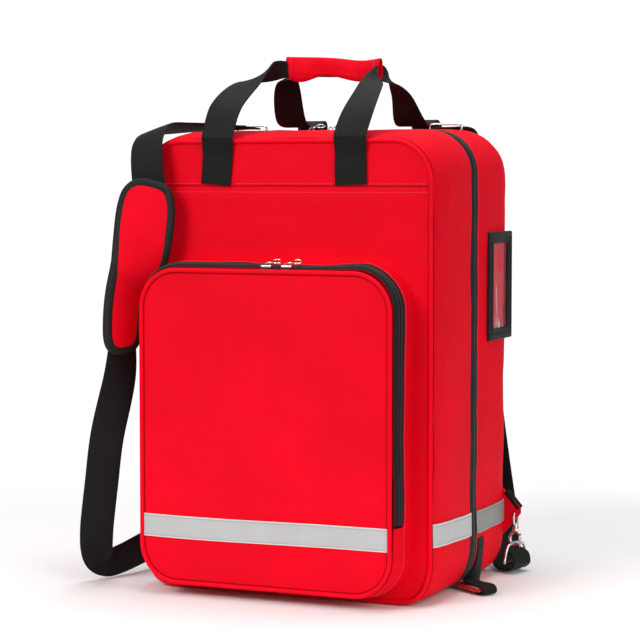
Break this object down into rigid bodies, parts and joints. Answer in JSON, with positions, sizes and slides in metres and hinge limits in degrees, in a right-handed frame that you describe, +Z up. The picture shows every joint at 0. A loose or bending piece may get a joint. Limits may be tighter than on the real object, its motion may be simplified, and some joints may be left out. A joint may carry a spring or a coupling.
{
  "type": "trauma backpack",
  "caption": "Soft-sided emergency backpack: zipped front lid with a large fold-down pocket, top carrying handles, shoulder straps, reflective tape and an open padded interior.",
  "frame": {"origin": "on the floor, in the middle of the zip that joins the two shells", "axes": "+Z up, the front pocket faces -Y, +X is to the right when seen from the front"},
  "size_m": [0.4604, 0.3447, 0.597],
  "materials": {
    "red_fabric": "woven polyester, satin",
    "red_side_fabric": "woven polyester, satin",
    "red_piping": "woven polyester over a cord",
    "red_lining": "padded nylon lining",
    "pad_fabric": "padded woven polyester with black binding",
    "black_webbing": "ribbed polyester webbing",
    "zip_tape": "nylon coil on woven tape",
    "black_mesh": "spacer mesh",
    "grey_mesh": "open net",
    "reflective_tape": "retroreflective",
    "elastic": "knitted elastic",
    "stiffener": "moulded sheet",
    "black_plastic": "moulded",
    "red_plastic": "moulded",
    "clear_sheet": "soft clear sheet",
    "nickel": "polished nickel plate"
  },
  "bodies": {
    "root": {"rear_gusset": "red_side_fabric", "rear_zip_tape": "zip_tape", "back_panel": "black_mesh", "back_padding": "black_mesh", "back_board": "stiffener", "base_board": "stiffener", "shelf_divider": "red_lining", "upright_divider": "red_lining", "rear_side_bands": "reflective_tape", "label_frame": "black_plastic", "label_window": "clear_sheet", "rear_handle_base": "black_webbing", "ring_tab_left": "red_fabric", "ring_tab_right": "red_fabric", "tab_loop_left": "black_webbing", "tab_loop_right": "black_webbing", "snap_hook_left": "nickel", "snap_hook_right": "nickel", "strap_ring_left": "nickel", "strap_ring_right": "nickel", "anchor_tabs": "black_webbing", "anchor_rings": "nickel", "strap_left_upper": "black_webbing", "strap_left_lower": "black_webbing", "strap_right_upper": "black_webbing", "strap_right_lower": "black_webbing", "shoulder_pad_left": "pad_fabric", "shoulder_pad_right": "pad_fabric", "side_tail": "black_webbing", "carabiner": "red_plastic"},
    "lid": {"lid_zip_tape": "zip_tape", "front_gusset": "red_side_fabric", "front_panel": "red_fabric", "front_piping": "red_piping", "front_side_bands": "reflective_tape", "lid_mesh_pocket": "grey_mesh", "elastic_loops": "elastic", "front_handle_base": "black_webbing", "pocket_gusset": "red_side_fabric", "pocket_inner_tape": "zip_tape", "pocket_lower_panel": "red_fabric", "pocket_lower_piping": "red_piping", "reflective_band": "reflective_tape"},
    "pocket_flap": {"pocket_flap": "red_fabric", "pocket_flap_piping": "red_piping", "pocket_flap_tape": "zip_tape"},
    "front_handle": {"front_handle_loop": "black_webbing", "handle_wrap": "red_fabric"},
    "rear_handle": {"rear_handle_loop": "black_webbing"},
    "main_slider_left": {"main_slider_left": "nickel"},
    "main_slider_right": {"main_slider_right": "nickel"},
    "main_pull_left": {"main_pull_left": "nickel"},
    "main_pull_right": {"main_pull_right": "nickel"},
    "pocket_slider_left": {"pocket_slider_left": "nickel"},
    "pocket_slider_right": {"pocket_slider_right": "nickel"},
    "pocket_pull_left": {"pocket_pull_left": "nickel"},
    "pocket_pull_right": {"pocket_pull_right": "nickel"},
    "snap_gate_left": {"snap_gate_left": "nickel"},
    "snap_gate_right": {"snap_gate_right": "nickel"},
    "carabiner_gate": {"carabiner_gate": "red_plastic"}
  },
  "joints": [
    {"name": "lid_hinge", "type": "hinge", "parent": "root", "child": "lid", "pos_m": [0, -0.0004, -0.0003], "axis": [1, 0, 0], "range_deg": [0, 180], "deforming": ["strap_left_upper", "shoulder_pad_left", "strap_left_lower"]},
    {"name": "pocket_flap_hinge", "type": "hinge", "parent": "lid", "child": "pocket_flap", "pos_m": [-0.005, -0.1652, 0.0913], "axis": [1, 0, 0], "range_deg": [0, 105]},
    {"name": "front_handle_fold", "type": "hinge", "parent": "lid", "child": "front_handle", "pos_m": [0, -0.117, 0.488], "axis": [1, 0, 0], "range_deg": [0, 100]},
    {"name": "rear_handle_fold", "type": "hinge", "parent": "root", "child": "rear_handle", "pos_m": [0, 0.129, 0.488], "axis": [-1, 0, 0], "range_deg": [0, 120]},
    {"name": "main_slider_left_slide", "type": "slide", "parent": "root", "child": "main_slider_left", "axis": [1, 0, 0], "range_m": [-0.08, 0]},
    {"name": "main_slider_right_slide", "type": "slide", "parent": "root", "child": "main_slider_right", "axis": [1, 0, 0], "range_m": [0, 0.08]},
    {"name": "main_pull_left_swing", "type": "hinge", "parent": "main_slider_left", "child": "main_pull_left", "pos_m": [-0.018, 0, 0.5172], "axis": [0, -1, 0], "range_deg": [0, 170]},
    {"name": "main_pull_right_swing", "type": "hinge", "parent": "main_slider_right", "child": "main_pull_right", "pos_m": [0.006, 0, 0.5172], "axis": [0, -1, 0], "range_deg": [0, 90]},
    {"name": "pocket_slider_left_slide", "type": "slide", "parent": "lid", "child": "pocket_slider_left", "axis": [1, 0, 0], "range_m": [-0.08, 0]},
    {"name": "pocket_slider_right_slide", "type": "slide", "parent": "lid", "child": "pocket_slider_right", "axis": [1, 0, 0], "range_m": [0, 0.07]},
    {"name": "pocket_pull_left_swing", "type": "hinge", "parent": "pocket_slider_left", "child": "pocket_pull_left", "pos_m": [-0.004, -0.1508, 0.3692], "axis": [0, -1, 0], "range_deg": [0, 170]},
    {"name": "pocket_pull_right_swing", "type": "hinge", "parent": "pocket_slider_right", "child": "pocket_pull_right", "pos_m": [0.02, -0.1508, 0.3692], "axis": [0, -1, 0], "range_deg": [0, 90]},
    {"name": "snap_gate_left_swing", "type": "hinge", "parent": "root", "child": "snap_gate_left", "pos_m": [-0.19565, 0.11906, 0.0373], "axis": [-0.28, 0.96, 0], "range_deg": [0, 25], "stiffness_Nm_per_rad": 0.05, "springref_deg": -17.19},
    {"name": "snap_gate_right_swing", "type": "hinge", "parent": "root", "child": "snap_gate_right", "pos_m": [0.19565, 0.11906, 0.0373], "axis": [-0.28, -0.96, 0], "range_deg": [0, 25], "stiffness_Nm_per_rad": 0.05, "springref_deg": -17.19},
    {"name": "carabiner_gate_swing", "type": "hinge", "parent": "root", "child": "carabiner_gate", "pos_m": [0.1782, 0.003, 0.0053], "axis": [0, 0, -1], "range_deg": [0, 18], "stiffness_Nm_per_rad": 0.05, "springref_deg": -17.19}
  ]
}
